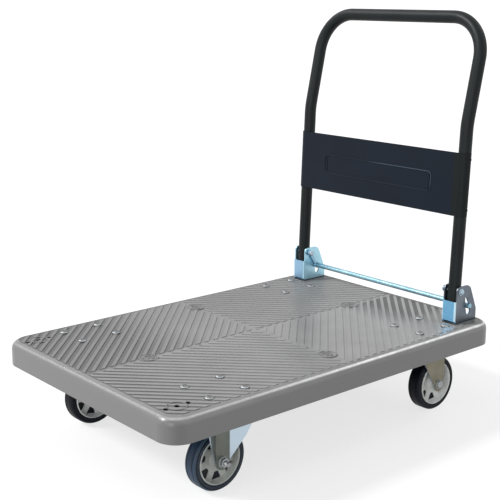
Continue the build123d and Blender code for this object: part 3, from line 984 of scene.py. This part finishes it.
def dome_bolt_profile(length):
    """A low round head on a flange; the shank runs back from the sheet."""
    flange, dome, height, base = 8.2, 6.2, 7.0, 1.7
    shank = [(0.0, -length), (bolt_thread, -length), (bolt_thread, 0.0)]
    rim = [(flange, 0.0), (flange, 1.2), (flange - 0.5, 1.6), (dome, base)]
    quarter = [on_circle(1, angle) for angle in range(15, 90, 15)]
    return shank + rim + [(dome * x, base + (height - base) * y) for x, y in quarter] + [(0.0, height)]


def make_pivots():
    """A round head on the outer cheek and a low cap over the spring's eye on the inner side."""
    bm = bmesh.new()
    for side in (1, -1):
        outer = farthest_out(loose_box("pivot_bolts", side)) - head_height * MM
        inner = farthest_out(loose_box("pivot_nuts", side))
        axis = loose_centre("pivot_nuts", side)
        length = (outer - inner) / MM
        lathe(bm, dome_bolt_profile(length), 48, axis_y(Vector((axis.x, side * outer, axis.z)), side))
        lathe(bm, disc(7.0, 0.0, 3.6, 1.2), 40, axis_y(Vector((axis.x, side * inner, axis.z)), -side))
    add_piece("pivot_set", to_mesh("pivots", bm), pivot_zinc, "cart", ["pivot_bolts", "pivot_nuts"])


make_front_axle_ends()
make_rear_axle("left")
make_rear_axle("right")
make_pivots()

# ---- marks moulded on the deck: plain roundels and gate marks ----

roundels = ((-293, 0), (293, 0), (0, 220), (0, -220))
gates = ((0, 0), (0, 160), (0, -160), (-160, 0), (160, 0))
outer_ring = (17.4, 20.5)           # inner and outer radius, also of the rings round the spare holes
mark_base = tread_floor - 0.3
mark_top = deck_top + 0.5


def add_roundel(bm, place):
    """A low disc with two raised rings, a middle and eight dots."""
    plate = tread_floor + 0.8
    raised = plate - 0.2
    lathe(bm, disc(21.5, mark_base, plate, 0.3), 64, place)
    lathe(bm, ring(*outer_ring, raised, mark_top), 64, place)
    lathe(bm, ring(9.0, 11.4, raised, mark_top - 0.1), 48, place)
    lathe(bm, disc(3.2, raised, mark_top - 0.1), 32, place)
    for n in range(8):
        dot = place @ Matrix.Rotation(math.pi / 4 * n, 4, "Z") @ standing_at(14.4, 0)
        lathe(bm, disc(1.9, raised, mark_top - 0.2), 20, dot)


def make_deck_marks():
    """The roundels, the rings round two spare holes and the gate marks."""
    bm = bmesh.new()
    for x, y in roundels:
        add_roundel(bm, standing_at(x, y))
    for side in (1, -1):
        lathe(bm, ring(*outer_ring, mark_base, mark_top), 64, standing_at(spare_holes, side * leg_line))
    for x, y in gates:
        lathe(bm, disc(3.4, mark_base, tread_floor + 0.5), 24, standing_at(x, y))
    add_piece("deck_marks", to_mesh("marks", bm), deck_mark, "cart")


make_deck_marks()

# ---- panel trim ----


def panel_frame():
    """The handle's pivot in the middle plane, and the directions up the legs and out of the panel."""
    lean = math.radians(handle_lean)
    up = Vector((math.sin(lean), 0, math.cos(lean)))
    out = Vector((-math.cos(lean), 0, math.sin(lean)))
    pivot = loose_centre("pivot_nuts", 1)
    return Vector((pivot.x, 0, pivot.z)), up, out


def make_panel_bead():
    """The raised line of the pressed frame."""
    half_width, top, bottom, wire = 168, 20, -25, 1.0
    axis, up, out = panel_frame()
    middle = axis + up * (panel_foot + panel_height / 2) * MM + out * (panel_wrap + 0.4) * MM
    corners = [(-half_width, bottom), (half_width, bottom), (half_width, top), (-half_width, top)]
    points = [middle + Vector((0, y * MM, 0)) + up * z * MM for y, z in rounded(corners, 10.5, 6)]
    bead = wire_mesh("bead", points + points[:2], wire * MM)
    add_piece("panel_bead", bead, bead_paint, "handle", (), 180)


def make_panel_rivets():
    """A rivet near each corner, on the outer side of the sheet that wraps the legs."""
    inset = 14
    rivet = [(0, -0.5), (3.6, -0.5), (3.6, 0.3), (2.6, 1.1), (0, 1.4)]
    axis, up, _ = panel_frame()
    bm = bmesh.new()
    for side in (1, -1):
        sideways = Vector((0, side * (leg_line + panel_wrap) * MM, 0))
        for height in (inset, panel_height - inset):
            lathe(bm, rivet, 24, axis_y(axis + up * (panel_foot + height) * MM + sideways, side))
    add_piece("panel_rivets", to_mesh("rivets", bm), handle_paint, "handle")


make_panel_bead()
make_panel_rivets()
